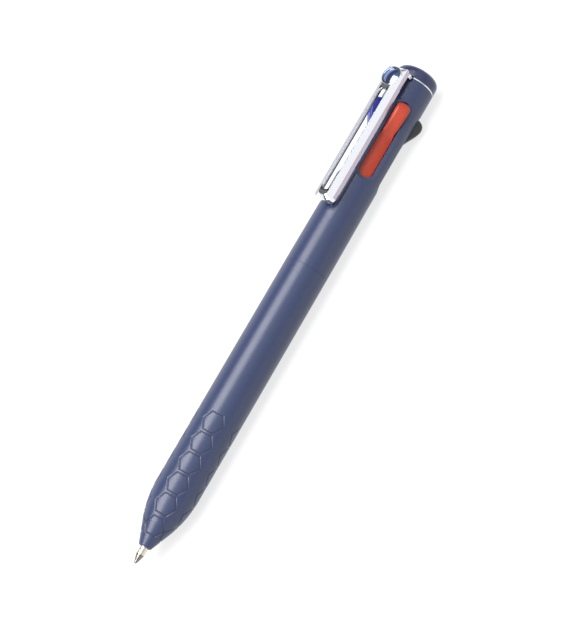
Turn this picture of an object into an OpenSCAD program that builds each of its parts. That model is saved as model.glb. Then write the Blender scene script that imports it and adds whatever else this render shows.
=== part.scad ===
/* [Overall] */
// Length from the writing ball to the top of the cap
pen_l = 145.2; // [140:0.2:176]
// Outer diameter of the lower barrel
barrel_d = 11.64; // [11:0.02:14]
// Thickness of the barrel wall at the lower barrel
barrel_wall = 1.07; // [0.95:0.01:1.3]
// How much slimmer the upper barrel is than the lower one
upper_taper = 0.24; // [0:0.02:0.4]
// Length from the writing ball to the joint between the two barrels
lower_l = 84.5; // [70:0.5:86]

/* [Nose and grip] */
// Length of the metal point that stands out of the nose
point_out = 4.5; // [3.5:0.1:5.5]
// Radius of the nose's front edge
nose_front_r = 1.87; // [1.7:0.01:2.2]
// Slope of the nose cone, in degrees
nose_slope = 19.5; // [18:0.5:24]
// Radius of the curve that blends the nose cone into the barrel
nose_blend_r = 30; // [15:1:40]
// Width of a grip hexagon, flat to flat, at the middle of its groove
hex_flat = 4.95; // [4:0.05:5.3]
// Distance between hexagons along the barrel
hex_pitch = 5.75; // [5.6:0.05:7.2]
// Number of hexagons in a row
hex_count = 6; // [3:1:6]
// Width of an engraved groove
groove_w = 0.36; // [0.2:0.02:0.5]
// Depth of an engraved groove
groove_t = 0.18; // [0.1:0.01:0.25]
// Turn of the grip rows from the clip, in degrees
hex_turn = 30.5; // [0:0.5:45]

/* [Sliders] */
// Travel of a slider
stroke = 10; // [8:0.5:12]
// Length of the raised thumb knob
knob_l = 10; // [9:0.5:12]
// Width of the thumb knob
knob_w = 3.7; // [3:0.1:3.9]
// Height of the knob's crest above the pen's axis
knob_r = 7.5; // [7:0.1:9]
// Clearance between a knob and its slot
slot_gap = 0.15; // [0.1:0.01:0.3]
// Slot length left over below the knob when it is down
slot_spare = 2.4; // [1:0.1:4]
// Distance from the top of the pen to the top of the slots
slot_from_top = 10.8; // [9:0.1:14]
// Depth of the flat around a slot, from the barrel's surface
flat_t = 0.72; // [0.5:0.01:0.8]
// Width of the flat around a slot
flat_w = 5.5; // [4.8:0.1:5.8]

/* [Clip] */
// Length of the clip
clip_l = 40.7; // [36:0.1:46]
// Width of the clip
clip_w = 5.9; // [5.2:0.1:7]
// Height of the clip's underside above the barrel
clip_gap = 1.6; // [0.8:0.1:2]
// Height of the clip's side faces
clip_side = 1.55; // [1:0.05:2.2]
// Rise of the bevels from the side faces to the crest
clip_bevel = 1.05; // [0.5:0.05:1.4]
// Width of the slot through the clip
clip_slot_w = 2.3; // [1.6:0.1:3]
// Thickness of the clip's sheet, which is folded into a channel
sheet_t = 0.6; // [0.4:0.05:0.9]
// Diameter of the round boss on the clip's head
boss_d = 5.5; // [4.4:0.1:5.6]
// Diameter of the polished dome
dome_d = 4.8; // [3.4:0.1:5]

/* [Cap] */
// Height of the cap above the parting line
cap_h = 3.8; // [3:0.1:5]
// Rounding of the cap's edge
cap_round = 1.8; // [1:0.1:2]
// Thickness of the clip's mounting plate, which shows as a line below the cap
clip_plate_t = 0.3; // [0.2:0.01:0.6]

/* [Refills] */
// Diameter of the metal point
point_d = 2.1; // [1.8:0.02:2.5]
// Length of the metal point from the ball to the refill tube
point_l = 11.6; // [10:0.1:13]
// Length of the point's cone
cone_l = 2.4; // [1.6:0.1:3]
// Diameter of the writing ball
ball_d = 0.7; // [0.5:0.1:1]
// Wall of the refill tube
refill_wall = 0.35; // [0.25:0.01:0.45]
// Share of the refill tube that holds ink
ink_fill = 0.78; // [0.5:0.01:0.9]
// Length over which a pushed-out refill bends towards the axis
bend_l = 36; // [30:1:40]
// Wire of a return spring
wire_d = 0.3; // [0.2:0.02:0.4]
// Number of turns in a return spring
spring_turns = 9; // [6:1:11]
// Length of a return spring with its slider up
spring_l = 14.5; // [13:0.5:16]

/* [Hidden] */
// The four inks: name, direction of the slider from the clip, share of the travel that it is down, colour
INK = [["red", 45, 0, "orangered"], ["black", 135, 0, "dimgray"],
    ["green", 225, 1, "seagreen"], ["blue", 315, 0, "mediumblue"]];

// Clearances between pieces, and the number of sides of round pieces
fit_gap = 0.05;
run_gap = 0.1;
part_clear = 0.3;
over = 1;
fine = 96;
small = 48;

// Barrels
barrel_r = barrel_d / 2;
upper_r = barrel_r - upper_taper / 2;
bore_r = barrel_r - barrel_wall;
taper_start = 3.5;
taper_l = 20;
cap_z = pen_l - cap_h;
top_z = cap_z - clip_plate_t;
nose_z = point_out;
joint_gap = 0.04;

// Nose outline: a cone that runs into the barrel along an arc
nose_round = 0.45;
cone_r0 = nose_front_r - nose_round * (1 - tan(45 - nose_slope / 2));
blend_t = nose_blend_r * tan(nose_slope / 2);
blend_end = (barrel_r - nose_front_r) / tan(nose_slope) + blend_t;
nose_hole_l = 1.6;
arc_steps = 10;

// Four equal round cells for springs and refills fill the bore
slots = len(INK);
quarter = 360 / slots;
cell_r = ((bore_r - part_clear) * sqrt(2) - part_clear) / (2 + sqrt(2));
ring_r = bore_r - part_clear - cell_r;
spring_r = cell_r - fit_gap - wire_d / 2;
refill_r = min(spring_r - wire_d / 2 - run_gap, (ring_r - fit_gap) / 2);
refill_bore_r = refill_r - refill_wall;
point_r = point_d / 2;
hole_r = point_r + 0.15;

// Slots and sliders
slot_w = knob_w + 2 * slot_gap;
slot_top = pen_l - slot_from_top;
slot_bottom = slot_top - knob_l - stroke - slot_spare;
knob_top = slot_top - slot_gap;
plate_out = sqrt(pow(bore_r - run_gap, 2) - pow(slot_w / 2, 2));
plate_t = 1.2;
plate_in = plate_out - plate_t;
collar_l = 1.8;
seat_t = 1.6;
seat_z = lower_l + collar_l;
foot_z = seat_z + seat_t + spring_l;
foot_l = 4;
peg_l = 5;
knob_chamfer = 0.45;
crest_round = 2.6;
crest_l = 0.8;
lug_l = 1.5;
lug_t = 0.28;
slots_turn = INK[0][1];
axis_h = (knob_r + knob_w / 2 - knob_chamfer) * cos(slots_turn);

// Flats around the slots
flat_x = upper_r - flat_t;
flat_below = 0.9;
flat_rise = 0.5;
flat_level = 12;

// Guide core, spring seat and threaded sleeve
core_half = plate_in - lug_t - run_gap;
core_gap = 1;
core_z = foot_z + foot_l + core_gap;
core_top = slot_top + 1.2;
core_disc_l = 3.4;
fin_t = 0.8;
catch_t = 0.4;
catch_l = 3.6;
spigot_l = 7;
spigot_r = bore_r + 0.15;
socket_r = spigot_r + run_gap;
sleeve_bore_r = ring_r + refill_r + 0.25;
spigot_z = lower_l - spigot_l;
thread_pitch = 1;
thread_t = 0.12;

// Clip
clip_in = upper_r + clip_gap;
clip_edge = clip_in + clip_side;
clip_out = clip_edge + clip_bevel;
clip_top = cap_z;
clip_bottom = clip_top - clip_l;
clip_rail = clip_slot_w / 2 + 0.25;
clip_corner = 2;
head_l = 7.35;
tail_l = 2.65;
boss_in = 3.35;
head_round = 1.5;
fold = atan(clip_bevel / (clip_w / 2 - clip_rail));
clip_slot_top = clip_top - head_l;
clip_slot_bottom = clip_bottom + tail_l;
hollow_top = clip_slot_top + 1;
pad_l = 1.8;
pad_w = 3;
pad_z = clip_bottom + sheet_t - run_gap;
pad_x = upper_r + run_gap;
pad_lead = 0.3;
pad_root = clip_out - sheet_t + run_gap;
foot_t = 1.2;
foot_w = 5;
foot_in = bore_r - 1.1;
notch_gap = 0.22;
boss_z = clip_top - boss_in;
dome_inset = 0.3;
boss_top = clip_out - dome_inset;
dome_rise = 0.6;
dome_r = (pow(dome_d / 2, 2) + dome_rise * dome_rise) / (2 * dome_rise);
dome_sink = 0.5;

// Cap
cap_crown = 0.3;
plug_l = 2.3;

// Hexagon grooves
hex_first = nose_z + 5.25;
hex_front = 0.88;
link_w = 0.2;
link_l = 2 * barrel_r * sin(quarter / 2 - asin(hex_flat / sqrt(3) / barrel_r));

// Points
lip_r = ball_d / 2 + 0.08;
lip_z = ball_d * 0.6;
neck_r = refill_r - 0.15;
neck_l = 1.6;
shank_l = 5;
bend_z = point_l + shank_l + 2 * fit_gap;
bend_steps = 14;
bend_sides = 16;

function down(i) = INK[i][2] * stroke;
function arc(cx, cy, r, a0, a1) =
    [for (k = [0:arc_steps]) let (a = a0 + (a1 - a0) * k / arc_steps) [cx + r * cos(a), cy + r * sin(a)]];

// Outline of nose and barrel as [radius, height], moved out by grow, from the front edge up to height end
function skin(grow, end) = concat(
    arc(cone_r0 - nose_round, nose_z + nose_round, nose_round + grow, -90, -nose_slope),
    arc(barrel_r - nose_blend_r, nose_z + blend_end, nose_blend_r + grow, -nose_slope, 0),
    [[barrel_r + grow, end]]);

// Lays the pen's own axis along +X, with the clip up
module lay() {
    translate([-pen_l / 2, 0, axis_h]) rotate([0, -90, 180]) children();
}

// Turns a piece drawn towards the clip to the direction of ink i
module at(i) {
    rotate([0, 0, INK[i][1]]) children();
}

// Extrudes a [radius, height] outline sideways to width w
module slab(w) {
    translate([0, w / 2, 0]) rotate([90, 0, 0]) linear_extrude(w) children();
}

// A radial prism of width w with round ends, from height a to b and radius x0 to x1
module stadium(w, a, b, x0, x1) {
    for (z = [a + w / 2, b - w / 2])
        translate([x0, 0, z]) rotate([0, 90, 0]) cylinder(r = w / 2, h = x1 - x0, $fn = small);
    translate([x0, -w / 2, a + w / 2]) cube([x1 - x0, w, b - a - w]);
}

// A hexagon of flat-to-flat width d along the pen
module hexagon(d) {
    polygon([for (k = [0:5]) d / sqrt(3) * [sin(60 * k), cos(60 * k)]]);
}

// Cuts the outline of one grip hexagon of flat-to-flat width d
module groove(d) {
    rotate([0, 90, 0]) linear_extrude(barrel_r + over) {
        difference() {
            hexagon(d + groove_w);
            hexagon(d - groove_w);
        }
    }
}

module grip_grooves() {
    intersection() {
        rotate_extrude($fn = fine) difference() {
            polygon(concat([[0, nose_z - over]], skin(over, lower_l / 2), [[0, lower_l / 2]]));
            polygon(concat([[0, nose_z - over]], skin(-groove_t, lower_l), [[0, lower_l]]));
        }
        for (row = [0:slots - 1], k = [0:hex_count - 1])
            rotate([0, 0, hex_turn + row * quarter]) translate([0, 0, hex_first + k * hex_pitch]) {
                groove(k == 0 ? hex_flat * hex_front : hex_flat);
                if (k > 0) rotate([0, 0, quarter / 2]) translate([0, -link_l / 2, -link_w / 2])
                    cube([barrel_r + over, link_l, link_w]);
            }
    }
}

module lower_barrel() {
    color("midnightblue") lay() difference() {
        rotate_extrude($fn = fine)
            polygon(concat([[0, nose_z]], skin(0, lower_l - joint_gap), [[0, lower_l - joint_gap]]));
        rotate_extrude($fn = fine) polygon([
            [0, nose_z - over], [hole_r, nose_z - over], [hole_r, nose_z + nose_hole_l],
            [ring_r + ball_d / 2, stroke - ball_d / 2], [ring_r + point_r + fit_gap * 2, stroke + cone_l - fit_gap],
            [bore_r, stroke * 2], [bore_r, lower_l - spigot_l - run_gap],
            [socket_r, lower_l - spigot_l - run_gap], [socket_r, lower_l + over], [0, lower_l + over]]);
        grip_grooves();
    }
}

module upper_barrel() {
    color("midnightblue") lay() difference() {
        rotate_extrude($fn = fine) polygon([
            [bore_r, lower_l], [barrel_r, lower_l], [barrel_r, lower_l + taper_start],
            [upper_r, lower_l + taper_start + taper_l], [upper_r, top_z - fit_gap * 2],
            [upper_r - fit_gap * 2, top_z], [bore_r, top_z]]);
        for (i = [0:slots - 1]) at(i) {
            stadium(slot_w, slot_bottom, slot_top, ring_r, knob_r);
            intersection() {
                stadium(flat_w, slot_bottom - flat_below, slot_top + flat_below, ring_r, knob_r);
                slab(flat_w + over) polygon([
                    [flat_x, slot_bottom - over * 2], [flat_x, slot_bottom + flat_level],
                    [flat_x + flat_rise, slot_top], [upper_r + over, slot_top + over * 2],
                    [knob_r, slot_top + over * 2], [knob_r, slot_bottom - over * 2]]);
            }
        }
        clip_notch();
    }
}

// Room for the clip's foot in the barrel's rim and the cap
module clip_notch() {
    translate([foot_in - notch_gap, -foot_w / 2 - notch_gap, clip_top - foot_t - notch_gap])
        cube([barrel_r, foot_w + 2 * notch_gap, foot_t + 2 * notch_gap]);
}

module top_cap() {
    color("midnightblue") lay() difference() {
        rotate_extrude($fn = fine) polygon(concat(
            [[0, cap_z - plug_l], [bore_r - fit_gap, cap_z - plug_l], [bore_r - fit_gap, cap_z],
                [upper_r, cap_z]],
            arc(upper_r - cap_round, pen_l - cap_crown - cap_round, cap_round, 0, 80),
            [[(upper_r - cap_round) / 2, pen_l - cap_crown / 4], [0, pen_l]]));
        clip_notch();
    }
}

module slider_guide() {
    color("lightgray") lay() difference() {
        union() {
            rotate([0, 0, slots_turn]) translate([-core_half, -core_half, core_z])
                cube([2 * core_half, 2 * core_half, core_top - core_z]);
            for (k = [0:slots - 1]) rotate([0, 0, k * quarter])
                translate([core_half, -fin_t / 2, core_z]) cube([bore_r - core_half - fit_gap, fin_t, core_top - core_z]);
            translate([0, 0, core_top]) cylinder(r = bore_r - fit_gap, h = core_disc_l, $fn = fine);
        }
        for (i = [0:slots - 1]) at(i) translate([core_half - catch_t, -slot_w / 2, knob_top - stroke - catch_l])
            cube([catch_t + over, slot_w, catch_l]);
    }
}

module spring_seat() {
    color("whitesmoke") lay() difference() {
        translate([0, 0, seat_z]) cylinder(r = bore_r - fit_gap, h = seat_t, $fn = fine);
        for (i = [0:slots - 1]) at(i)
            translate([ring_r, 0, seat_z - over]) cylinder(r = refill_r + run_gap, h = seat_t + 2 * over, $fn = small);
    }
}

// Glued into the upper barrel; the lower barrel screws onto its threaded end
module thread_sleeve() {
    color("lightgray") lay() difference() {
        union() {
            translate([0, 0, spigot_z]) cylinder(r = spigot_r - thread_t, h = spigot_l, $fn = fine);
            for (k = [1:floor(spigot_l / thread_pitch) - 2])
                translate([0, 0, spigot_z + k * thread_pitch])
                    cylinder(r = spigot_r, h = thread_pitch / 2, $fn = fine);
            translate([0, 0, lower_l]) cylinder(r = bore_r - fit_gap, h = collar_l, $fn = fine);
        }
        translate([0, 0, spigot_z - over])
            cylinder(r = sleeve_bore_r, h = spigot_l + collar_l + 2 * over, $fn = fine);
    }
}

// The ring of the clip's sheet that the cap clamps onto the barrel
module clip_plate() {
    color("silver") lay() difference() {
        translate([0, 0, top_z]) cylinder(r = upper_r - fit_gap, h = clip_plate_t, $fn = fine);
        translate([0, 0, top_z - over]) cylinder(r = bore_r, h = clip_plate_t + 2 * over, $fn = fine);
        clip_notch();
    }
}

// Cross-section of the clip's channel, moved in by t
module channel(t) {
    polygon([
        [clip_in - t, t - clip_w / 2], [clip_edge - t * tan(45 - fold / 2), t - clip_w / 2],
        [clip_out - t, t * tan(fold / 2) - clip_rail], [clip_out - t, clip_rail - t * tan(fold / 2)],
        [clip_edge - t * tan(45 - fold / 2), clip_w / 2 - t], [clip_in - t, clip_w / 2 - t]]);
}

// Front outline of the clip: rounded corners at its lower end, square at its head
module clip_front(t) {
    r = clip_corner - t;
    for (y = [r + t - clip_w / 2, 0, clip_w / 2 - r - t]) translate([0, y, 0])
        stadium(2 * r, clip_bottom + t, clip_top - t, clip_in - over, clip_out + over);
    translate([clip_in - over, t - clip_w / 2, clip_bottom + clip_corner])
        cube([clip_out, clip_w - 2 * t, clip_l - clip_corner]);
}

module clip() {
    color("silver") lay() difference() {
        union() {
            difference() {
                intersection() {
                    translate([0, 0, clip_bottom]) linear_extrude(clip_l) channel(0);
                    clip_front(0);
                    slab(clip_w) polygon(concat(
                        [[clip_in, clip_bottom], [clip_edge, clip_bottom], [clip_out, clip_bottom + clip_bevel]],
                        arc(clip_out - head_round, clip_top - head_round, head_round, 0, 90),
                        [[clip_in, clip_top]]));
                }
                intersection() {
                    translate([0, 0, clip_bottom]) linear_extrude(hollow_top - clip_bottom) channel(sheet_t);
                    clip_front(sheet_t);
                    slab(clip_w) polygon([
                        [clip_in - over, clip_bottom + sheet_t], [clip_edge - sheet_t, clip_bottom + sheet_t],
                        [clip_out - sheet_t, clip_bottom + sheet_t + clip_bevel], [clip_out - sheet_t, hollow_top],
                        [clip_in - over, hollow_top]]);
                }
            }
            translate([0, 0, boss_z]) rotate([0, 90, 0]) translate([0, 0, clip_in])
                cylinder(r = boss_d / 2, h = clip_out - clip_in, $fn = small);
            translate([foot_in, -foot_w / 2, clip_top - foot_t]) cube([clip_edge - foot_in, foot_w, foot_t]);
            slab(pad_w) polygon([
                [pad_x + pad_lead, pad_z], [pad_x, pad_z + pad_lead], [pad_x, pad_z + pad_l - pad_lead],
                [pad_x + pad_lead, pad_z + pad_l], [pad_root, pad_z + pad_l], [pad_root, pad_z + clip_bevel],
                [clip_edge - sheet_t, pad_z]]);
        }
        stadium(clip_slot_w, clip_slot_bottom, clip_slot_top, clip_in - over, clip_out + over);
        translate([boss_top - dome_sink, 0, boss_z]) rotate([0, 90, 0])
            cylinder(r = dome_d / 2 + fit_gap, h = dome_sink + over, $fn = small);
    }
}

module clip_dome() {
    color("slategray") lay() translate([boss_top, 0, boss_z]) rotate([0, 90, 0]) {
        translate([0, 0, -dome_sink]) cylinder(r = dome_d / 2, h = dome_sink, $fn = small);
        intersection() {
            translate([0, 0, dome_rise - dome_r]) sphere(r = dome_r, $fn = fine);
            cylinder(r = dome_d / 2, h = dome_rise, $fn = small);
        }
    }
}

module knob() {
    slab(knob_w) polygon(concat(
        [[plate_out - run_gap, knob_top - knob_l], [plate_out, knob_top - knob_l]],
        [[knob_r, knob_top - crest_round - crest_l]],
        arc(knob_r - crest_round, knob_top - crest_round, crest_round, 0, 90),
        [[plate_out - run_gap, knob_top]]));
}

module slider(i) {
    color(INK[i][3]) lay() at(i) translate([0, 0, -down(i)]) {
        intersection() {
            knob();
            stadium(knob_w, knob_top - knob_l - knob_w, knob_top, plate_in, knob_r + over);
            linear_extrude(pen_l) polygon([
                [0, -knob_w / 2], [knob_r - knob_chamfer, -knob_w / 2], [knob_r, knob_chamfer - knob_w / 2],
                [knob_r, knob_w / 2 - knob_chamfer], [knob_r - knob_chamfer, knob_w / 2], [0, knob_w / 2]]);
        }
        translate([plate_in, -slot_w / 2 + slot_gap / 2, foot_z])
            cube([plate_t, slot_w - slot_gap, knob_top - foot_z]);
        translate([plate_in - lug_t, -slot_w / 2 + slot_gap, knob_top - lug_l])
            cube([lug_t + fit_gap, slot_w - 2 * slot_gap, lug_l]);
        translate([ring_r, 0, foot_z]) cylinder(r = cell_r, h = foot_l, $fn = small);
        translate([ring_r, 0, foot_z - peg_l]) cylinder(r = refill_bore_r, h = peg_l + over, $fn = small);
    }
}

// Points of a round wire of radius r around the helix of a spring of length l
function helix(l, steps, sides) = [for (k = [0:steps], s = [0:sides - 1])
    let (turn = 360 * spring_turns * k / steps, around = 360 * s / sides,
        out = spring_r + wire_d / 2 * cos(around))
    [out * cos(turn), out * sin(turn), wire_d / 2 + (l - wire_d) * k / steps + wire_d / 2 * sin(around)]];

module spring(i) {
    steps = spring_turns * 14;
    sides = 5;
    color("silver") lay() at(i) translate([ring_r, 0, seat_z + seat_t]) polyhedron(
        points = helix(spring_l - down(i), steps, sides),
        faces = concat(
            [[for (s = [0:sides - 1]) s]],
            [for (k = [0:steps - 1], s = [0:sides - 1]) let (a = k * sides, n = (s + 1) % sides)
                [a + s, a + sides + s, a + sides + n, a + n]],
            [[for (s = [sides - 1:-1:0]) steps * sides + s]]));
}

// Distance from the axis of a pushed-out refill at height z
function bent_x(z) =
    let (t = min(max((z - bend_z) / bend_l, 0), 1)) ring_r * (1 - cos(180 * t)) / 2;

// A rod of radius r from height a to b that bends from the refill ring to the axis
module bent_rod(r, a, b) {
    heights = concat([a],
        [for (k = [0:bend_steps]) let (z = bend_z + bend_l * k / bend_steps) if (z > a && z < b) z], [b]);
    rings = len(heights);
    polyhedron(
        points = [for (z = heights, s = [0:bend_sides - 1]) let (around = 360 * s / bend_sides)
            [bent_x(z) + r * cos(around), r * sin(around), z]],
        faces = concat(
            [[for (s = [0:bend_sides - 1]) s]],
            [for (k = [0:rings - 2], s = [0:bend_sides - 1])
                let (low = k * bend_sides, high = low + bend_sides, n = (s + 1) % bend_sides)
                    [low + s, high + s, high + n, low + n]],
            [[for (s = [bend_sides - 1:-1:0]) (rings - 1) * bend_sides + s]]));
}

// A refill's rod from height a to b: straight when the slider is up, bent when it is down
module rod(i, r, a, b) {
    if (down(i) == 0) translate([ring_r, 0, a]) cylinder(r = r, h = b - a, $fn = small);
    else bent_rod(r, a, b);
}

function tube_z(i) = point_l + stroke - down(i);
function tube_end(i) = foot_z - down(i);

module refill_tube(i) {
    color("white") lay() at(i) difference() {
        rod(i, refill_r, tube_z(i), tube_end(i));
        rod(i, refill_bore_r / (down(i) == 0 ? 1 : cos(180 / bend_sides)), tube_z(i) - fit_gap, tube_end(i) + fit_gap);
    }
}

module ink(i) {
    start = tube_z(i) + shank_l + fit_gap;
    color(INK[i][3]) lay() at(i) rod(i, refill_bore_r, start, start + (tube_end(i) - start) * ink_fill);
}

// Height and distance from the axis of the ball of refill i
function ball_z(i) = stroke - down(i);
function ball_x(i) = ring_r * (1 - INK[i][2]);

module point(i) {
    color("lightgray") lay() at(i) translate([ball_x(i), 0, ball_z(i)]) difference() {
        rotate_extrude($fn = small) polygon([
            [0, ball_d], [ball_d / 2, lip_z], [lip_r, lip_z], [point_r, cone_l], [point_r, point_l - neck_l],
            [neck_r, point_l - neck_l], [neck_r, point_l], [refill_bore_r - fit_gap / 2, point_l],
            [refill_bore_r - fit_gap / 2, point_l + shank_l], [0, point_l + shank_l]]);
        translate([0, 0, ball_d / 2]) sphere(r = ball_d / 2 + fit_gap / 2, $fn = small);
    }
}

module ball(i) {
    color("gray") lay() at(i) translate([ball_x(i), 0, ball_z(i) + ball_d / 2]) sphere(r = ball_d / 2, $fn = small);
}

lower_barrel();
upper_barrel();
top_cap();
slider_guide();
spring_seat();
thread_sleeve();
clip_plate();
clip();
clip_dome();
for (i = [0:slots - 1]) {
    slider(i);
    spring(i);
    refill_tube(i);
    ink(i);
    point(i);
    ball(i);
}
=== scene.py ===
from math import asin, atan, cos, hypot, pi, radians, sin, sqrt, tan

import bmesh
import bpy
import numpy as np
from mathutils import Matrix, Vector


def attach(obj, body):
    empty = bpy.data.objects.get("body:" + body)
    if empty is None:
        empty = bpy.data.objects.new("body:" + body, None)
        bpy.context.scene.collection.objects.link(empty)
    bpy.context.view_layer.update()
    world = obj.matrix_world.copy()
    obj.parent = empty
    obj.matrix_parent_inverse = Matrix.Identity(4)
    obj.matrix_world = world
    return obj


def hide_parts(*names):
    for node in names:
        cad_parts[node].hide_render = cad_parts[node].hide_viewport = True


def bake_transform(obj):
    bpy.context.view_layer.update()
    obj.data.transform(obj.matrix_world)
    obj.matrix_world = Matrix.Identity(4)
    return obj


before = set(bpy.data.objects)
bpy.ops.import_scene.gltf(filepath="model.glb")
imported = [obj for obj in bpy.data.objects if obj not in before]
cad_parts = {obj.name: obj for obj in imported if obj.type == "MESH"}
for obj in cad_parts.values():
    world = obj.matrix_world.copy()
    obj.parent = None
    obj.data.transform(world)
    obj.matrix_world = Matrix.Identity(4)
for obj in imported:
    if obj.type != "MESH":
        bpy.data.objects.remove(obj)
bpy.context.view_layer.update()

# Sizes of the pen in mm, as the CAD model has them. The pen's own coordinates are x towards the clip,
# y sideways and s along the pen from the writing ball. INKS gives name, direction and whether it is down.
PEN_L, LOWER_L, BARREL_R, UPPER_R, BORE_R = 145.2, 84.5, 5.82, 5.70, 4.75
INKS = [("red", 45, 0), ("black", 135, 0), ("green", 225, 1), ("blue", 315, 0)]
STROKE, KNOB_L, KNOB_W, KNOB_R = 10, 10, 3.7, 7.5
SLOT_W, SLOT_TOP, SLOT_BOTTOM, KNOB_TOP = 4.0, 134.4, 112.0, 134.25
FLAT_X, FLAT_W, FLAT_BELOW, FLAT_RISE, FLAT_LEVEL = 4.98, 5.5, 0.9, 0.5, 12
RING_R, CELL_R, SPRING_R, REFILL_R, REFILL_BORE_R, WIRE_D = 2.6946, 1.7554, 1.555, 1.305, 0.955, 0.3
PLATE_OUT, PLATE_IN, FOOT_Z, SEAT_Z, SPRING_L = 4.1929, 2.9929, 102.4, 87.9, 14.5
POINT_R, POINT_L, CONE_L, SHANK_L = 1.05, 11.6, 2.4, 5
BEND_Z, BEND_L = 16.7, 36
TOP_Z, CAP_Z = 141.1, 141.4
AXIS_H = (KNOB_R + KNOB_W / 2 - 0.45) * cos(radians(45))
NOSE_Z, NOSE_FRONT_R, NOSE_SLOPE, NOSE_BLEND_R, NOSE_ROUND = 4.5, 1.87, 19.5, 30, 0.45
HEX_FLAT, HEX_PITCH, HEX_COUNT, HEX_FIRST, HEX_FRONT, HEX_TURN = 4.95, 5.75, 6, 9.75, 0.88, 30.5
GROOVE_T, GROOVE_END = 0.16, 50
CLIP_IN, CLIP_EDGE, CLIP_OUT, CLIP_TOP, CLIP_BOTTOM, CLIP_W = 7.3, 8.85, 9.9, 141.4, 100.7, 5.9
CLIP_SLOT, CLIP_SLOT_TOP, CLIP_SLOT_BOTTOM, CLIP_RAIL = 1.15, 134.05, 103.35, 1.4
BOSS_Z, DOME_BASE, SHEET_T = 138.05, 9.1, 0.6


# ---------- mesh helpers, in the pen's own millimetres ----------

def raw(name, points, faces, merge=1e-4):
    """A mesh object in the pen's own millimetres, welded and with its normals outwards."""
    mesh = bpy.data.meshes.new(name)
    corners = np.asarray(points, float).reshape(-1, 3).tolist()
    mesh.from_pydata(corners, [], [list(map(int, f)) for f in faces])
    bm = bmesh.new()
    bm.from_mesh(mesh)
    bmesh.ops.remove_doubles(bm, verts=bm.verts, dist=merge)
    bmesh.ops.recalc_face_normals(bm, faces=bm.faces)
    bm.to_mesh(mesh)
    bm.free()
    obj = bpy.data.objects.new(name, mesh)
    bpy.context.collection.objects.link(obj)
    return obj


def bake(obj):
    """Applies an object's modifiers."""
    bpy.context.view_layer.update()
    graph = bpy.context.evaluated_depsgraph_get()
    mesh = bpy.data.meshes.new_from_object(obj.evaluated_get(graph))
    obj.modifiers.clear()
    obj.data = mesh


def combine(obj, tool, how):
    m = obj.modifiers.new("combine", "BOOLEAN")
    m.operation, m.object, m.solver = how, tool, "EXACT"
    bake(obj)
    bpy.data.objects.remove(tool)


def soften(obj, width, segments=2, angle=25):
    """Rounds the edges that are sharper than an angle."""
    m = obj.modifiers.new("soften", "BEVEL")
    m.width, m.segments, m.limit_method, m.angle_limit = width, segments, "ANGLE", radians(angle)
    bake(obj)


def done(obj, body, material, nodes=(), turn=0, slide=0, smooth=35):
    """Moves a raw mesh into the frame, in metres, and makes it ride on a body."""
    a = radians(turn)
    spin = Matrix(((cos(a), -sin(a), 0, 0), (sin(a), cos(a), 0, 0), (0, 0, 1, slide), (0, 0, 0, 1)))
    lay = Matrix(((0, 0, 1, -PEN_L / 2), (0, -1, 0, 0), (1, 0, 0, AXIS_H), (0, 0, 0, 1)))
    obj.data.transform(Matrix.Scale(0.001, 4) @ lay @ spin)
    obj.data.shade_smooth()
    obj.data.set_sharp_from_angle(angle=radians(smooth))
    obj.data.materials.clear()
    obj.data.materials.append(material)
    if body:
        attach(obj, body)
    if nodes:
        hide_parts(*nodes)
    return obj


def again(obj, name):
    copy = obj.copy()
    copy.name, copy.data = name, obj.data.copy()
    bpy.context.collection.objects.link(copy)
    return copy


def grid(rows, cols, loop_rows, loop_cols, start=0):
    r = np.arange(rows if loop_rows else rows - 1)
    c = np.arange(cols if loop_cols else cols - 1)
    r, c = np.meshgrid(r, c, indexing="ij")
    r2, c2 = (r + 1) % rows, (c + 1) % cols
    corners = np.stack([r * cols + c, r * cols + c2, r2 * cols + c2, r2 * cols + c], -1)
    return (corners.reshape(-1, 4) + start).tolist()


def lathe(name, profile, cols=96, loop=True):
    """Turns a closed outline of [radius, height] about the pen's axis."""
    p = np.array(profile, float)
    a = np.linspace(0, 2 * pi, cols, endpoint=False)
    pts = np.stack([p[:, :1] * np.cos(a), p[:, :1] * np.sin(a), p[:, 1:] + 0 * a], -1)
    return raw(name, pts, grid(len(p), cols, loop, True))


def arc(cx, cy, r, a0, a1, steps=8):
    turns = [radians(a0 + (a1 - a0) * k / steps) for k in range(steps + 1)]
    return [(cx + r * cos(a), cy + r * sin(a)) for a in turns]


def outwards(obj, x, s):
    """Turns a mesh lathed about the pen's axis so that its height points towards the clip, from height x."""
    obj.data.transform(Matrix(((0, 0, 1, x), (0, 1, 0, 0), (-1, 0, 0, s), (0, 0, 0, 1))))
    return obj


def block(name, x0, x1, y0, y1, s0, s1, width=0, segments=2):
    """A bar between these limits, with rounded edges."""
    pts = [(x, y, s) for x in (x0, x1) for y in (y0, y1) for s in (s0, s1)]
    obj = raw(name, pts, [(0, 1, 3, 2), (4, 6, 7, 5), (0, 4, 5, 1), (2, 3, 7, 6), (0, 2, 6, 4), (1, 5, 7, 3)])
    if width:
        soften(obj, width, segments)
    return obj


def smooth(a, b, v):
    t = np.clip((v - a) / (b - a), 0, 1)
    return t * t * (3 - 2 * t)


# ---------- materials ----------

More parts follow.
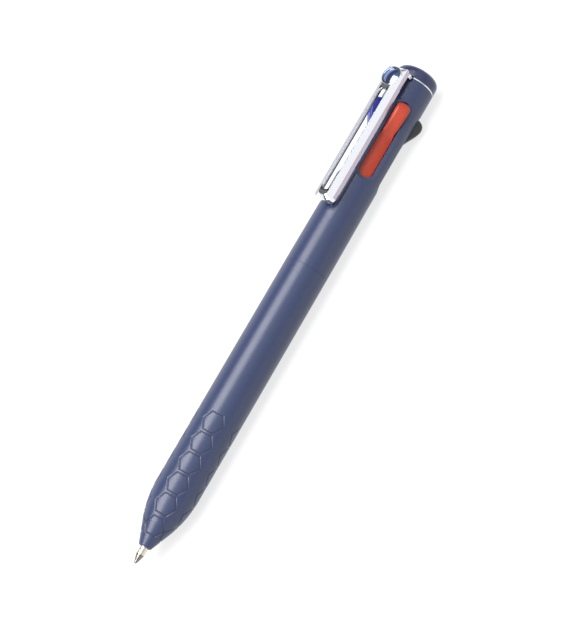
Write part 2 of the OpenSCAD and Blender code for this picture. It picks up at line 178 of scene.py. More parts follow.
def material(name, color, rough, metal=0.0, vary=0.08, grain=2200, bump=0.03, bump_size=9000, coat=0.0,
             clear=0.0, stretch=(1, 1, 1), ior=1.5, wear=0.06):
    """A surface whose colour, roughness and relief vary. Color is linear, grain and bump_size per metre."""
    mat = bpy.data.materials.new(name)
    mat.use_nodes = True
    nodes, links = mat.node_tree.nodes, mat.node_tree.links
    nodes.clear()
    out = nodes.new("ShaderNodeOutputMaterial")
    shader = nodes.new("ShaderNodeBsdfPrincipled")
    links.new(shader.outputs[0], out.inputs[0])
    shader.inputs["Metallic"].default_value = metal
    shader.inputs["IOR"].default_value = ior
    shader.inputs["Coat Weight"].default_value = coat
    shader.inputs["Coat Roughness"].default_value = 0.12
    shader.inputs["Transmission Weight"].default_value = clear
    where = nodes.new("ShaderNodeTexCoord")
    scale = nodes.new("ShaderNodeMapping")
    scale.inputs["Scale"].default_value = stretch
    links.new(where.outputs["Object"], scale.inputs["Vector"])

    def noise(size, detail):
        n = nodes.new("ShaderNodeTexNoise")
        n.inputs["Scale"].default_value, n.inputs["Detail"].default_value = size, detail
        links.new(scale.outputs[0], n.inputs["Vector"])
        return n

    cloud = noise(grain, 4)
    ramp = nodes.new("ShaderNodeValToRGB")
    ramp.color_ramp.elements[0].position, ramp.color_ramp.elements[1].position = 0.3, 0.7
    ramp.color_ramp.elements[0].color = (*[c * (1 - vary) for c in color], 1)
    ramp.color_ramp.elements[1].color = (*[min(1, c * (1 + vary)) for c in color], 1)
    links.new(cloud.outputs["Fac"], ramp.inputs["Fac"])
    links.new(ramp.outputs["Color"], shader.inputs["Base Color"])
    handled = noise(grain / 12, 3)
    spread = nodes.new("ShaderNodeMapRange")
    spread.inputs["From Min"].default_value, spread.inputs["From Max"].default_value = 0.3, 0.7
    spread.inputs["To Min"].default_value = rough * (1 - wear)
    spread.inputs["To Max"].default_value = rough * (1 + wear)
    links.new(handled.outputs["Fac"], spread.inputs["Value"])
    links.new(spread.outputs["Result"], shader.inputs["Roughness"])
    fine = noise(bump_size, 2)
    relief = nodes.new("ShaderNodeBump")
    relief.inputs["Strength"].default_value = bump
    relief.inputs["Distance"].default_value = 0.0001
    links.new(fine.outputs["Fac"], relief.inputs["Height"])
    links.new(relief.outputs["Normal"], shader.inputs["Normal"])
    return mat


NAVY = material("navy_satin", (0.021, 0.030, 0.074), 0.32, bump=0.10, bump_size=6000, vary=0.10)
# The groove navy below is a darker copy of the barrel's navy for the engraved grooves: painted shade in the
# recesses.
GROOVE_PAINTED_SHADE = material("navy_groove_painted_shade", (0.011, 0.014, 0.038), 0.45, bump=0.10, bump_size=6000, vary=0.10)
CAP = material("navy_cap", (0.016, 0.020, 0.062), 0.28, bump=0.05, bump_size=6000, vary=0.10)


def plated(name, color, rough):
    return material("chrome_" + name, color, rough, 1.0, vary=0.02, bump=0.01, bump_size=3000, wear=0.3)


CHROME = plated("plate", (0.78, 0.78, 0.80), 0.12)
# The lip chrome below is a dark copy of the plate chrome: a painted dark reflection on the flat crest round the
# clip's slot.
CHROME_LIP_PAINTED_DARK = plated("lip", (0.20, 0.20, 0.23), 0.16)
# The far bevel's chrome below is a darker copy of the plate chrome: painted shade that dims the far bevel's
# reflection.
CHROME_FAR_PAINTED_DARK = plated("painted_dark_far_bevel", (0.40, 0.40, 0.43), 0.14)
# The side chrome below is a darker, violet copy of the plate chrome: a painted reflection of shaded floor on
# the clip's side walls.
CHROME_SIDE_PAINTED_SHADE = material("chrome_side_painted_shade", (0.47, 0.41, 0.48), 0.20, 1.0, vary=0.03, bump=0.02, bump_size=3000,
                       wear=0.3)
CHROME_WALL = material("chrome_slot_wall", (0.62, 0.62, 0.66), 0.35, 0.25, vary=0.03, bump=0.05,
                       bump_size=5000)
DOME = material("dome_tinted", (0.20, 0.26, 0.46), 0.14, 1.0, vary=0.04, bump=0.01, bump_size=3000, wear=0.2)
GUIDE = material("guide_grey", (0.42, 0.43, 0.45), 0.5, bump=0.08)
STEEL = material("spring_wire", (0.60, 0.60, 0.62), 0.25, 1.0, bump=0.15, stretch=(1, 4, 4))
NICKEL = material("nickel_silver", (0.66, 0.58, 0.50), 0.24, 1.0, vary=0.04, bump=0.12, bump_size=7000,
                  stretch=(6, 1, 1))
# The cone material below is a dark copy of the nickel silver for the point's cone: a painted dark reflection.
CONE_PAINTED_DARK = material("cone_painted_dark_reflection", (0.22, 0.20, 0.185), 0.22, 1.0, vary=0.06, bump=0.12, bump_size=7000,
                stretch=(6, 1, 1))
CARBIDE = material("ball_carbide", (0.22, 0.22, 0.24), 0.12, 1.0, vary=0.05, bump=0.01)
TUBE = material("tube_clear", (0.86, 0.87, 0.87), 0.3, vary=0.02, clear=0.75, bump=0.04, ior=1.49)
KNOBS = {
    "red": material("knob_red", (0.31, 0.024, 0.005), 0.42, bump=0.08, vary=0.06),
    "black": material("knob_black", (0.016, 0.017, 0.019), 0.38, bump=0.08, vary=0.15),
    "green": material("knob_green", (0.012, 0.20, 0.075), 0.38, bump=0.08, vary=0.06),
    "blue": material("knob_blue", (0.020, 0.026, 0.26), 0.38, bump=0.08, vary=0.06)}
INK = {
    "red": material("ink_red", (0.50, 0.015, 0.015), 0.2, bump=0.02, vary=0.2),
    "black": material("ink_black", (0.008, 0.008, 0.010), 0.2, bump=0.02, vary=0.2),
    "green": material("ink_green", (0.006, 0.18, 0.05), 0.2, bump=0.02, vary=0.2),
    "blue": material("ink_blue", (0.012, 0.018, 0.30), 0.2, bump=0.02, vary=0.2)}


# ---------- lower barrel with the engraved grip ----------

def nose_outline():
    cone_r0 = NOSE_FRONT_R - NOSE_ROUND * (1 - tan(radians(45 - NOSE_SLOPE / 2)))
    end = NOSE_Z + (BARREL_R - NOSE_FRONT_R) / tan(radians(NOSE_SLOPE))
    end += NOSE_BLEND_R * tan(radians(NOSE_SLOPE / 2))
    return (arc(cone_r0 - NOSE_ROUND, NOSE_Z + NOSE_ROUND, NOSE_ROUND, -90, -NOSE_SLOPE, 6),
            arc(BARREL_R - NOSE_BLEND_R, end, NOSE_BLEND_R, -NOSE_SLOPE, 0, 24))


def lower_barrel():
    front, blend = nose_outline()
    grip_end = HEX_FIRST + HEX_PITCH * (HEX_COUNT - 1) + HEX_FLAT / 2 + 0.5
    zone = np.arange(front[-1][1] + 1.2, grip_end, 0.115)
    line = np.array(front + blend + [(BARREL_R, LOWER_L)])
    outer = front + [(np.interp(s, line[:, 1], line[:, 0]), s) for s in zone]
    outer += [(BARREL_R, s) for s in np.linspace(grip_end, LOWER_L - 0.2, 16)]
    outer += [(BARREL_R, LOWER_L - 0.1), (BARREL_R, LOWER_L - 0.05), (BARREL_R - 0.01, LOWER_L - 0.04)]
    inner = [(5.12, LOWER_L - 0.04), (5.0, LOWER_L - 0.16), (5.0, 77.4), (BORE_R, 77.4), (BORE_R, 48),
             (BORE_R, 20), (3.845, 12.35), (3.045, 9.65), (1.2, 6.1), (1.2, NOSE_Z + 0.12), (1.3, NOSE_Z)]
    p = np.array(outer + inner)
    cols = 296
    a = np.linspace(0, 2 * pi, cols, endpoint=False)
    r, s, turn = p[:, :1] + 0 * a, p[:, 1:] + 0 * a, np.degrees(a) + 0 * p[:, :1]

    # distance from the nearest hexagon's outline, and from the short lines that join the hexagons
    row = (turn - HEX_TURN + 45) % 90 - 45
    k = np.clip(np.round((s - HEX_FIRST) / HEX_PITCH), 0, HEX_COUNT - 1)
    z = np.abs(s - HEX_FIRST - k * HEX_PITCH)
    y = np.abs(r * np.sin(np.radians(row)))
    hexagon = np.abs(np.maximum(z, z / 2 + y * sqrt(0.75)) - HEX_FLAT * np.where(k == 0, HEX_FRONT, 1) / 2)
    tip = HEX_FLAT / sqrt(3)
    joined = (y > tip - 0.05) & (k > 0)
    depth = 1 - smooth(0.04, 0.22, hexagon)
    depth = np.maximum(depth, np.where(joined, 0.6 - 0.6 * smooth(0.02, 0.14, z), 0))
    depth *= (s > front[-1][1] + 0.8) & (s < grip_end) & (np.arange(len(p))[:, None] < len(outer))
    r = r - GROOVE_T * depth
    pts = np.stack([r * np.cos(a), r * np.sin(a), s], -1)
    return raw("lower_barrel_shell", pts, grid(len(p), cols, True, True))


# ---------- upper barrel with four slots, each in a flat ----------

def flat_height(s):
    """Height of a flat above the axis at height s."""
    return np.interp(s, [SLOT_BOTTOM + FLAT_LEVEL, SLOT_TOP, SLOT_TOP + 2],
                     [FLAT_X, FLAT_X + FLAT_RISE, UPPER_R + 1])


def skin(angle, s):
    """The barrel's radius at an angle from a slot's middle, lower where the flat cuts it."""
    flat = flat_height(s) / np.cos(angle)
    soft = 0.05
    return (UPPER_R + flat - np.sqrt((UPPER_R - flat) ** 2 + soft ** 2)) / 2 + 0.002


def upper_barrel():
    k_arc, m_side, quarter = 48, 26, pi / 4
    half = SLOT_W / 2
    low, high = SLOT_BOTTOM + half, SLOT_TOP - half
    side = np.linspace(0, 1, m_side, endpoint=False)
    bend = np.linspace(0, pi, k_arc, endpoint=False)

    def stadium(w, a, b):
        return np.concatenate([
            np.stack([w + 0 * side, a + (b - a) * side], 1),
            np.stack([w * np.cos(bend), b + w * np.sin(bend)], 1),
            np.stack([-w + 0 * side, b - (b - a) * side], 1),
            np.stack([-w * np.cos(bend), a - w * np.sin(bend)], 1)])

    def on(ring, depth, radius=None):
        """Points of a stadium ring laid on the skin, or at a radius."""
        y, s = ring[:, 0], ring[:, 1]
        angle = np.arcsin(y / UPPER_R)
        r = UPPER_R + 0 * y
        for _ in range(6):
            r = (skin(angle, s) if radius is None else radius + 0 * y) - depth
            angle = np.arcsin(np.clip(y / r, -1, 1))
        return np.stack([angle, s, r], 1)

    reach = UPPER_R * quarter
    m = np.maximum(np.abs(np.cos(bend)), np.abs(np.sin(bend)))
    u, v = np.cos(bend) / m, np.sin(bend) / m
    frame_ring = np.concatenate([
        np.stack([quarter + 0 * side, low + (high - low) * side], 1),
        np.stack([quarter * u, high + reach * v], 1),
        np.stack([-quarter + 0 * side, high - (high - low) * side], 1),
        np.stack([-quarter * u, low - reach * v], 1)])

    def between(a, radius, steps):
        return [np.column_stack([a[:, :2] + (frame_ring - a[:, :2]) * t, radius + 0 * a[:, 0]])
                for t in np.linspace(0, 1, steps + 1)[1:]]

    wide = FLAT_W / 2
    a, b = SLOT_BOTTOM - FLAT_BELOW + wide, SLOT_TOP + FLAT_BELOW - wide
    slot = stadium(half, low, high)
    wall = on(slot, 0, BORE_R)
    top_edge = on(stadium(wide + 0.06, a, b), 0, UPPER_R)
    rings = between(wall, BORE_R, 3)[::-1] + [wall]
    rings += [on(slot, 0.30), on(slot, 0.12), on(stadium(half + 0.035, low, high), 0.035)]
    rings += [on(stadium(half + w, low, high), 0) for w in (0.12, 0.3, 0.5)]
    rings += [on(stadium(wide - 0.12, a, b), 0), on(stadium(wide - 0.03, a, b), -0.04), top_edge]
    rings += [on(stadium(wide + 0.3, a, b), 0, UPPER_R)]
    rings += between(rings[-1], UPPER_R, 4)
    rings = np.array(rings)
    n = rings.shape[1]
    points, faces = [], []
    for name, turn, down in INKS:
        at = rings[..., 0] + radians(turn)
        faces += grid(len(rings), n, False, True, len(points) * rings.shape[0] * n)
        laid = np.stack([rings[..., 2] * np.cos(at), rings[..., 2] * np.sin(at), rings[..., 1]], -1)
        points.append(laid.reshape(-1, 3))
    count = 4 * rings.shape[0] * n

    straight = bend[k_arc // 4:3 * k_arc // 4]
    edge = quarter * np.cos(straight) / np.sin(straight)
    edge = np.sort(np.concatenate([edge + radians(turn) for _, turn, _ in INKS]))
    top, bottom = high + reach, low - reach
    above = [(UPPER_R, top), (UPPER_R, 140), (UPPER_R, TOP_Z - 0.1), (UPPER_R - 0.03, TOP_Z - 0.03),
             (UPPER_R - 0.1, TOP_Z), (BORE_R, TOP_Z), (BORE_R, 140), (BORE_R, top)]
    below = [(BORE_R, bottom), (BORE_R, 100), (BORE_R, LOWER_L), (BARREL_R - 0.01, LOWER_L),
             (BARREL_R, LOWER_L + 0.01), (BARREL_R, LOWER_L + 0.06), (BARREL_R, 86), (BARREL_R, 88)]
    below += [(BARREL_R + (UPPER_R - BARREL_R) * t, 88 + 20 * t) for t in (0.1, 0.3, 0.5, 0.7, 0.9, 1)]
    below += [(UPPER_R, bottom)]
    for rows in (above, below):
        p = np.array(rows)
        faces += grid(len(p), len(edge), False, True, count)
        turned = np.stack([p[:, :1] * np.cos(edge), p[:, :1] * np.sin(edge), p[:, 1:] + 0 * edge], -1)
        points.append(turned.reshape(-1, 3))
        count += len(p) * len(edge)
    obj = raw("upper_barrel_shell", np.concatenate(points), faces, 2e-3)
    combine(obj, notch(), "DIFFERENCE")
    return obj


def notch():
    """Room for the clip's foot in the barrel's rim and the cap."""
    return block("notch", 3.43, 9, -2.72, 2.72, 139.98, 141.62)


# ---------- clip ----------

def clip_strap():
    """The sprung strap: a channel with bevelled rails round a slot, and a head that bends in to its foot."""
    side = np.linspace(0, 1, 40, endpoint=False)
    cap = np.linspace(0, pi, 48, endpoint=False)
    low, high = CLIP_SLOT_BOTTOM + CLIP_SLOT, CLIP_SLOT_TOP - CLIP_SLOT
    w = CLIP_W / 2

    def ring(y, s_low, s_high, corner_low, corner_high):
        """A rounded rectangle with as many points as the slot's outline: right, top, left, bottom."""
        def end(direction, s_end, s_from, corner):
            path = [(y, s_from)]
            path += [(y - corner + corner * cos(t), s_end + direction * (corner * sin(t) - corner))
                     for t in np.linspace(0, pi / 2, 9)]
            path = np.array(path + [(-a, b) for a, b in path[::-1]])
            gone = np.concatenate([[0], np.cumsum(np.hypot(*np.diff(path, axis=0).T))])
            pick = np.linspace(0, gone[-1], len(cap), endpoint=False)
            return np.stack([np.interp(pick, gone, path[:, 0]), np.interp(pick, gone, path[:, 1])], 1)
        bottom = end(-1, s_low, low, corner_low)
        return np.concatenate([
            np.stack([y + 0 * side, low + (high - low) * side], 1), end(1, s_high, high, corner_high),
            np.stack([-y + 0 * side, high - (high - low) * side], 1), bottom * [-1, 1]])

    def slot(more=0):
        y = CLIP_SLOT + more
        return np.concatenate([
            np.stack([y + 0 * side, low + (high - low) * side], 1),
            np.stack([y * np.cos(cap), high + y * np.sin(cap)], 1),
            np.stack([-y + 0 * side, high - (high - low) * side], 1),
            np.stack([-y * np.cos(cap), low - y * np.sin(cap)], 1)])

    rise = CLIP_OUT - CLIP_EDGE
    fold = atan(rise / (w - CLIP_RAIL))
    crest = ring(CLIP_RAIL, CLIP_BOTTOM + rise, CLIP_TOP - 1.5, 0.9, 0.4)
    outline = ring(w, CLIP_BOTTOM, CLIP_TOP, 2.0, 0.35)
    inner_y, inner_x = CLIP_RAIL - SHEET_T * tan(fold / 2), CLIP_EDGE - SHEET_T * tan(pi / 4 - fold / 2)
    hollow = ring(w - SHEET_T, CLIP_BOTTOM + SHEET_T, CLIP_SLOT_TOP + 1, 1.4, 0.4)
    ridge = ring(inner_y, CLIP_BOTTOM + SHEET_T + rise, CLIP_SLOT_TOP + 0.95, 0.5, 0.3)

    def bent(x, f):
        """Lays a ring at height x, or lower where the head bends in."""
        over = np.clip(f[:, 1] - (CLIP_TOP - 1.5), 0, 1.5)
        return np.column_stack([np.minimum(x, CLIP_OUT - 1.5 + np.sqrt(1.5 ** 2 - over ** 2)), f])

    rings = [bent(CLIP_IN, outline), bent(CLIP_IN, hollow), bent(inner_x, hollow)]
    rings += [bent(CLIP_OUT - SHEET_T, ridge), bent(CLIP_OUT - SHEET_T, slot())]
    lip = 0.22
    rings += [bent(CLIP_OUT - lip + lip * sin(t), slot(lip - lip * cos(t)))
              for t in np.linspace(0, pi / 2, 7)]
    rings += [bent(CLIP_OUT, slot(lip) + (crest - slot(lip)) * t) for t in np.linspace(0, 1, 6)[1:]]
    rings += [bent(CLIP_OUT - rise * t, crest + (outline - crest) * t) for t in (0.2, 0.4, 0.6, 0.8, 1)]
    obj = raw("clip_strap", np.array(rings), grid(len(rings), len(crest), True, True))
    soften(obj, 0.09, 2, 24)
    combine(obj, block("foot", 3.65, 7.6, -2.5, 2.5, 140.2, 141.38, 0.12), "UNION")
    z = CLIP_BOTTOM + 0.5
    pad = [(CLIP_EDGE - 0.65, z), (6.1, z), (5.8, z + 0.3), (5.8, z + 1.5), (6.1, z + 1.8),
           (CLIP_OUT - 0.5, z + 1.8), (CLIP_OUT - 0.5, z + 1.3)]
    n = len(pad)
    sides = [(x, y, s) for y in (-1.5, 1.5) for x, s in pad]
    pad = raw("pad", sides, [tuple(range(n)), tuple(range(2 * n - 1, n - 1, -1))] +
              [(i, i + n, (i + 1) % n + n, (i + 1) % n) for i in range(n)])
    soften(pad, 0.1)
    combine(obj, pad, "UNION")
    rim = [(0, 0), (2.75, 0), (2.75, 2.54)] + arc(2.63, 2.54, 0.12, 0, 90, 4) + [(2.5, 2.66), (0, 2.66)]
    combine(obj, outwards(lathe("boss", rim, 72, False), CLIP_IN, BOSS_Z), "UNION")
    pocket = [(0, 0), (2.42, 0), (2.42, 0.72), (2.52, 0.9), (0, 0.9)]
    combine(obj, outwards(lathe("pocket", pocket, 72, False), DOME_BASE, BOSS_Z), "DIFFERENCE")
    return obj


def clip_dome():
    rise, r = 0.6, 2.4
    ball = (r * r + rise * rise) / (2 * rise)
    turns = np.linspace(asin(r / ball) * 0.97, 0, 12)
    profile = [(0, 0), (r, 0), (r, 0.48), (r - 0.02, 0.52)]
    profile += [(ball * sin(t), 0.5 + rise - ball + ball * cos(t)) for t in turns]
    return outwards(lathe("dome", profile, 72, False), DOME_BASE, BOSS_Z)


# ---------- sliders ----------

def slider():
    """A thumb knob with a rounded crest on a plate that runs down to the foot holding the refill."""
    bottom, c = KNOB_TOP - KNOB_L, 0.78
    half = KNOB_W / 2
    sections = []
    ends = [KNOB_TOP - 1.85 + 1.85 * sin(t) for t in np.linspace(0, radians(86), 12)]
    crest = [KNOB_TOP - 3.0, KNOB_TOP - 2.6, KNOB_TOP - 2.2]
    for s in list(np.linspace(bottom, KNOB_TOP - 3.4, 14)) + crest + ends:
        over = s - (KNOB_TOP - 2.6)
        if s < KNOB_TOP - 3.4:
            h = PLATE_OUT + (KNOB_R - PLATE_OUT) * (s - bottom) / (KNOB_L - 3.4)
            h -= 0.12 * max(0, 1 - (KNOB_TOP - 3.4 - s) / 1.2) ** 2
        else:
            h = KNOB_R - 2.6 + sqrt(max(0, 2.6 ** 2 - max(0, over) ** 2))
            h -= 0.12 * max(0, (-over - 0.3) / 0.5)
        y = sqrt(max(0.01, half ** 2 - max(0, s - KNOB_TOP + half) ** 2))
        h = max(h, PLATE_OUT + 0.03)
        r = min(c, y * 0.7, (h - PLATE_OUT) * 0.8 + 0.02)
        right = [(PLATE_OUT - 0.1, y), (PLATE_OUT, y), (max(PLATE_OUT + 0.01, h - r), y)]
        right += [(h - r + r * sin(t) + 0.02 * (1 - cos(t)), y - r + r * cos(t))
                  for t in np.linspace(0.2, pi / 2, 6)]
        crown = [(h + 0.02 * cos(pi / 2 * v / max(y, 0.1)), v) for v in np.linspace(y - r, 0, 4)[1:]]
        line = right + crown
        sections.append([(x, v, s) for x, v in line] + [(x, -v, s) for x, v in line[-2::-1]])
    n = len(sections[0])
    last = (len(sections) - 1) * n
    end_faces = [tuple(range(n)), tuple(range(last + n - 1, last - 1, -1))]
    obj = raw("slider", sections, grid(len(sections), n, False, True) + end_faces)
    combine(obj, block("plate", PLATE_IN, PLATE_OUT, -1.925, 1.925, FOOT_Z, KNOB_TOP, 0.15), "UNION")
    lug = block("lug", PLATE_IN - 0.28, PLATE_IN + 0.05, -half, half, KNOB_TOP - 1.5, KNOB_TOP - 0.05, 0.08)
    combine(obj, lug, "UNION")
    peg_r, peg_end, foot_top = REFILL_BORE_R - 0.01, FOOT_Z - 5, FOOT_Z + 4
    foot = [(0, peg_end), (REFILL_BORE_R - 0.2, peg_end), (peg_r, FOOT_Z - 4.6), (peg_r, FOOT_Z),
            (CELL_R - 0.15, FOOT_Z), (CELL_R, FOOT_Z + 0.15), (CELL_R, foot_top - 0.15),
            (CELL_R - 0.15, foot_top), (0, foot_top)]
    foot = lathe("foot", foot, 48, False)
    foot.data.transform(Matrix.Translation((RING_R, 0, 0)))
    combine(obj, foot, "UNION")
    return obj


# ---------- refills and springs ----------

def rod(name, profile, steps, ink_down, cols=32):
    """A round rod in the refill ring, from a [radius, height] profile. One that is down bends to the axis."""
    p = []
    for (r0, s0), (r1, s1) in zip(profile, profile[1:]):
        cuts = max(1, int(abs(s1 - s0) / steps))
        p += [(r0 + (r1 - r0) * t / cuts, s0 + (s1 - s0) * t / cuts) for t in range(cuts)]
    p = np.array(p + [profile[-1]])
    a = np.linspace(0, 2 * pi, cols, endpoint=False)
    x = RING_R * (smooth(BEND_Z, BEND_Z + BEND_L, p[:, 1:]) if ink_down else 1)
    pts = np.stack([x + p[:, :1] * np.cos(a), p[:, :1] * np.sin(a), p[:, 1:] + 0 * a], -1)
    closed = profile[0] == profile[-1]
    pts = pts[:-1] if closed else pts
    return raw(name, pts, grid(len(pts), cols, closed, True))


def spring(down):
    """Nine open turns of wire with a closed turn at each end."""
    length, turns, sides = SPRING_L - STROKE * down, 9, 8
    k = np.linspace(0, 1, turns * 26 + 1)
    lift = 0.5 * k + 0.5 * (smooth(0.06, 0.94, k) * 0.88 + 0.12 * k)
    mid = WIRE_D / 2 + (length - WIRE_D) * lift
    around = np.linspace(0, 2 * pi, sides, endpoint=False)
    out = SPRING_R + WIRE_D / 2 * np.cos(around)
    turn = 2 * pi * turns * k[:, None]
    height = SEAT_Z + mid[:, None] + WIRE_D / 2 * np.sin(around)
    pts = np.stack([RING_R + out * np.cos(turn), out * np.sin(turn), height + 0 * turn], -1)
    last = (len(k) - 1) * sides
    ends = [tuple(range(sides)), tuple(range(last + sides - 1, last - 1, -1))]
    return raw("spring", pts, grid(len(k), sides, False, True) + ends)


def cone_faces(obj, from_s):
    """Gives the cone of a point a darker copy of the nickel: a painted dark reflection."""
    obj.data.materials.append(CONE_PAINTED_DARK)
    limit = (from_s + CONE_L + 0.05 - PEN_L / 2) / 1000
    for face in obj.data.polygons:
        face.material_index = 1 if face.center.x < limit else 0


def point():
    """A turned tip: seat lip, cone, shoulder, body, retaining groove, and the shank in the tube."""
    outline = [(0.30, 0.30), (0.36, 0.36), (0.43, 0.42), (0.45, 0.50), (0.62, 1.05), (0.64, 1.08), (1.00, 2.34),
               (1.04, 2.46), (POINT_R, 2.60), (POINT_R, 4.2), (POINT_R, 6.0), (POINT_R, 9.9), (1.02, 10.0),
               (1.155, 10.05), (1.155, POINT_L),
               (0.93, POINT_L), (0.93, POINT_L + SHANK_L - 0.2), (0.80, POINT_L + SHANK_L),
               (0, POINT_L + SHANK_L)]
    return lathe("point", [(0, 0.68)] + outline, 72, False)


# ---------- build ----------

grip = done(lower_barrel(), "lower_body", NAVY, ["lower_barrel"], smooth=60)
grip.data.materials.append(GROOVE_PAINTED_SHADE)
outline = np.array(nose_outline()[0] + nose_outline()[1] + [(BARREL_R, LOWER_L)])
# faces sunk in the grooves get the darker navy, painted shade in the recesses
for face in grip.data.polygons:
    s, r = face.center.x * 1000 + PEN_L / 2, hypot(face.center.y, face.center.z - AXIS_H / 1000) * 1000
    sunk = np.interp(s, outline[:, 1], outline[:, 0]) - r
    face.material_index = 1 if GROOVE_T * 0.75 < sunk < GROOVE_T * 1.2 and NOSE_Z + 1 < s < GROOVE_END else 0
done(upper_barrel(), "upper_body", NAVY, ["upper_barrel"], smooth=40)

cap_edge = arc(UPPER_R - 1.8, PEN_L - 2.1, 1.8, 0, 80, 10)
cap_plug = [(0, CAP_Z - 2.3), (4.55, CAP_Z - 2.3), (4.7, CAP_Z - 2.15), (4.7, CAP_Z), (UPPER_R - 0.06, CAP_Z),
            (UPPER_R, CAP_Z + 0.06)]
cap_crown = [(2.9, PEN_L - 0.13), (1.95, PEN_L - 0.06), (1, PEN_L - 0.02), (0, PEN_L)]
cap = lathe("top_cap_shell", cap_plug + cap_edge + cap_crown, 128, False)
combine(cap, notch(), "DIFFERENCE")
done(cap, "upper_body", CAP, ["top_cap"], smooth=30)

strap = done(clip_strap(), "clip_body", CHROME, ["clip"], smooth=22)
strap.data.materials.append(CHROME_SIDE_PAINTED_SHADE)
for finish in (CHROME_FAR_PAINTED_DARK, CHROME_LIP_PAINTED_DARK, CHROME_WALL):
    strap.data.materials.append(finish)
for face in strap.data.polygons:
    # the clip's side walls get the violet chrome, a painted reflection of shaded floor
    side_wall = abs(face.normal.y) > 0.9 and abs(face.center.y) * 1000 > CLIP_W / 2 - 0.1
    # the bevel on the far side gets the darker chrome, painted shade on its reflection
    painted_dark_far_bevel = 0.4 < face.normal.y < 0.9 and face.normal.z > 0.4 and face.center.y * 1000 > CLIP_RAIL
    y, s = abs(face.center.y) * 1000, face.center.x * 1000 + PEN_L / 2
    # the flat crest round the slot gets the dark lip chrome, a painted dark reflection
    lip = face.normal.z > 0.7 and y < CLIP_RAIL and CLIP_SLOT_BOTTOM - 0.4 < s < CLIP_SLOT_TOP + 0.4
    slot_wall = (y < CLIP_SLOT + 0.15 and abs(face.normal.z) < 0.6
                 and CLIP_SLOT_BOTTOM + 0.5 < s < CLIP_SLOT_TOP - 0.5)
    face.material_index = 1 if side_wall else 2 if painted_dark_far_bevel else 3 if lip else 4 if slot_wall else 0
done(clip_dome(), "clip_body", DOME, ["clip_dome"], smooth=50)

thread = np.linspace(LOWER_L - 7, LOWER_L, 85)
a = np.linspace(0, 2 * pi, 96, endpoint=False)
wave = np.abs((thread[:, None] + a / (2 * pi)) % 1 - 0.5) * 2
threaded = (thread[:, None] > LOWER_L - 6.6) & (thread[:, None] < LOWER_L - 0.5)
screw = 4.78 + 0.12 * smooth(0.25, 0.75, wave) * threaded
rest = np.array([(4.70, LOWER_L), (4.70, 86.3), (4.25, 86.3), (4.25, LOWER_L - 7)])
radii = np.concatenate([screw, rest[:, :1] + 0 * a])
heights = np.concatenate([thread, rest[:, 1]])[:, None] + 0 * a
sleeve = np.stack([radii * np.cos(a), radii * np.sin(a), heights], -1)
sleeve = raw("thread_sleeve_cut", sleeve, grid(len(radii), len(a), True, True))
done(sleeve, "upper_body", GUIDE, ["thread_sleeve"], smooth=40)

slider_mesh, point_mesh = slider(), point()
springs = [spring(0), spring(1)]
for name, turn, down in INKS:
    drop, mover, tip = STROKE * down, name + "_slider", name + "_point"
    knob = again(slider_mesh, "slider_" + name + "_moulded")
    done(knob, mover, KNOBS[name], ["slider_" + name], turn, -drop, 28)
    coil = again(springs[down], "spring_" + name + "_wound")
    done(coil, None, STEEL, ["spring_" + name], turn, 0, 80)
    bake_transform(coil)
    low = POINT_L + STROKE - drop
    r0, r1, end = REFILL_BORE_R, REFILL_R, FOOT_Z - drop
    wall = [(r0, low), (r1 - 0.06, low), (r1, low + 0.06), (r1, end - 0.06), (r1 - 0.06, end), (r0, end),
            (r0, low)]
    tube = rod("refill_tube_" + name + "_drawn", wall, 0.9, down)
    done(tube, None, TUBE, ["refill_tube_" + name], turn, 0, 50)
    start = low + SHANK_L + 0.05
    ri = REFILL_BORE_R - 0.005
    full = start + (end - start) * 0.78
    fill = [(0, start), (ri, start), (ri, full), (ri - 0.3, full + 0.12), (0, full + 0.2)]
    column = rod("ink_" + name + "_fill", fill, 0.9, down, 24)
    done(column, None, INK[name], ["ink_" + name], turn, 0, 50)
    rise = STROKE * (1 - down)
    for obj in (tube, column):
        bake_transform(obj)
    metal = again(point_mesh, "point_" + name + "_turned")
    metal.data.transform(Matrix.Translation((0 if down else RING_R, 0, rise)))
    done(metal, tip, NICKEL, ["point_" + name], turn, 0, 24)
    cone_faces(metal, rise)
for spare in [slider_mesh, point_mesh] + springs:
    bpy.data.objects.remove(spare)

for name, mat in [("slider_guide", GUIDE), ("spring_seat", GUIDE), ("clip_plate", CHROME)] + \
                 [("ball_" + name, CARBIDE) for name, _, _ in INKS]:
    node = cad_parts[name]
    node.data.materials.clear()
    node.data.materials.append(mat)

# ---------- camera ----------

look, tilt = radians(39), radians(13.4)
w = Vector((-sin(tilt), -cos(tilt) * sin(look), cos(tilt) * cos(look)))
along = (Vector((1, 0, 0)) + sin(tilt) * w) / cos(tilt)
across = along.cross(w)
angle = radians(59.77)
right = cos(angle) * along + sin(angle) * across
up = sin(angle) * along - cos(angle) * across
target = Vector((58.75 - PEN_L / 2, 0, AXIS_H)) / 1000
eye = target + w * 0.507 + right * 0.00745 + up * 0.01058
camera = bpy.data.objects.new("camera", bpy.data.cameras.new("camera"))
camera.matrix_world = Matrix(((right.x, up.x, w.x, eye.x), (right.y, up.y, w.y, eye.y),
                              (right.z, up.z, w.z, eye.z), (0, 0, 0, 1)))
camera.data.lens, camera.data.sensor_width = 116.8, 36
camera.data.clip_start, camera.data.clip_end = 0.01, 20
bpy.context.collection.objects.link(camera)
bpy.context.scene.camera = camera

# ---------- floor and light ----------

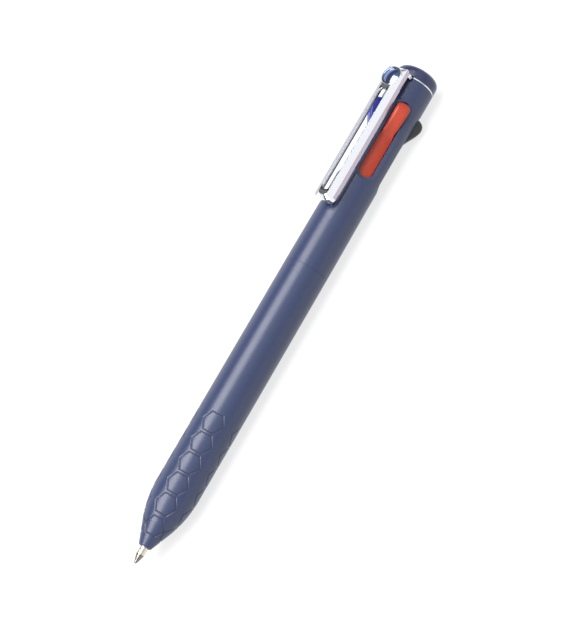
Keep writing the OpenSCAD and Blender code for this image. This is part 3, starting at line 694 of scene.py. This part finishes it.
steps = np.linspace(-1.5, 1.5, 13)
gx, gy = np.meshgrid(steps, steps, indexing="ij")
floor = bpy.data.meshes.new("floor")
corners = np.stack([gx, gy, 0 * gx - 0.0001], -1).reshape(-1, 3).tolist()
floor.from_pydata(corners, [], grid(len(steps), len(steps), False, False))
floor = bpy.data.objects.new("floor", floor)
bpy.context.collection.objects.link(floor)
floor.data.materials.append(material("floor_pale", (0.17, 0.17, 0.172), 0.6, vary=0.004, grain=40, bump=0.0))
shader = floor.data.materials[0].node_tree.nodes["Principled BSDF"]
shader.inputs["Emission Color"].default_value = (1, 1, 1, 1)
shader.inputs["Emission Strength"].default_value = 0.74


def softbox(name, direction, distance, size_x, size_y, power):
    """A soft rectangular light whose long side runs along the pen."""
    light = bpy.data.lights.new(name, "AREA")
    light.shape, light.size, light.size_y, light.energy = "RECTANGLE", size_x, size_y, power
    obj = bpy.data.objects.new(name, light)
    z = direction.normalized()
    x = Vector((1, 0, 0)) - z * z.x
    x.normalize()
    y = z.cross(x)
    p = target + z * distance
    obj.matrix_world = Matrix(((x.x, y.x, z.x, p.x), (x.y, y.y, z.y, p.y), (x.z, y.z, z.z, p.z),
                               (0, 0, 0, 1)))
    bpy.context.collection.objects.link(obj)


softbox("key", cos(radians(41)) * w - sin(radians(41)) * across, 0.7, 1.0, 0.45, 12.4)
softbox("right", cos(radians(75)) * w + sin(radians(75)) * across, 0.8, 1.2, 0.25, 1.2)
world = bpy.data.worlds.new("studio")
bpy.context.scene.world = world
world.use_nodes = True
nodes, links = world.node_tree.nodes, world.node_tree.links
sky = nodes["Background"]
where, split = nodes.new("ShaderNodeTexCoord"), nodes.new("ShaderNodeSeparateXYZ")
turned, spread = nodes.new("ShaderNodeMath"), nodes.new("ShaderNodeMapRange")
ramp = nodes.new("ShaderNodeValToRGB")
turned.operation = "ARCTAN2"
links.new(where.outputs["Generated"], split.inputs[0])
links.new(split.outputs["Y"], turned.inputs[0])
links.new(split.outputs["Z"], turned.inputs[1])
links.new(turned.outputs[0], spread.inputs["Value"])
spread.inputs["From Min"].default_value, spread.inputs["From Max"].default_value = -pi, pi
links.new(spread.outputs["Result"], ramp.inputs["Fac"])
links.new(ramp.outputs["Color"], sky.inputs["Color"])
# brightness round the pen's length, by the direction from straight up towards the far side
ramp.color_ramp.elements.remove(ramp.color_ramp.elements[0])
SKY = ((-180, 0.8), (-60, 0.8), (-45, 1.2), (-25, 1.2), (-5, 0.5), (20, 0.4), (28, 0.2), (50, 0.2), (58, 0.9),
       (72, 1.5), (100, 1.5), (112, 0.9), (180, 0.9))
for at, level in SKY:
    if at > -180:
        stop = ramp.color_ramp.elements.new((at + 180) / 360)
    else:
        stop = ramp.color_ramp.elements[0]
    stop.position = (at + 180) / 360
    stop.color = (0.94 * level, 0.96 * level, level, 1)
sky.inputs["Strength"].default_value = 1.0
bpy.context.scene.view_settings.view_transform = "Standard"
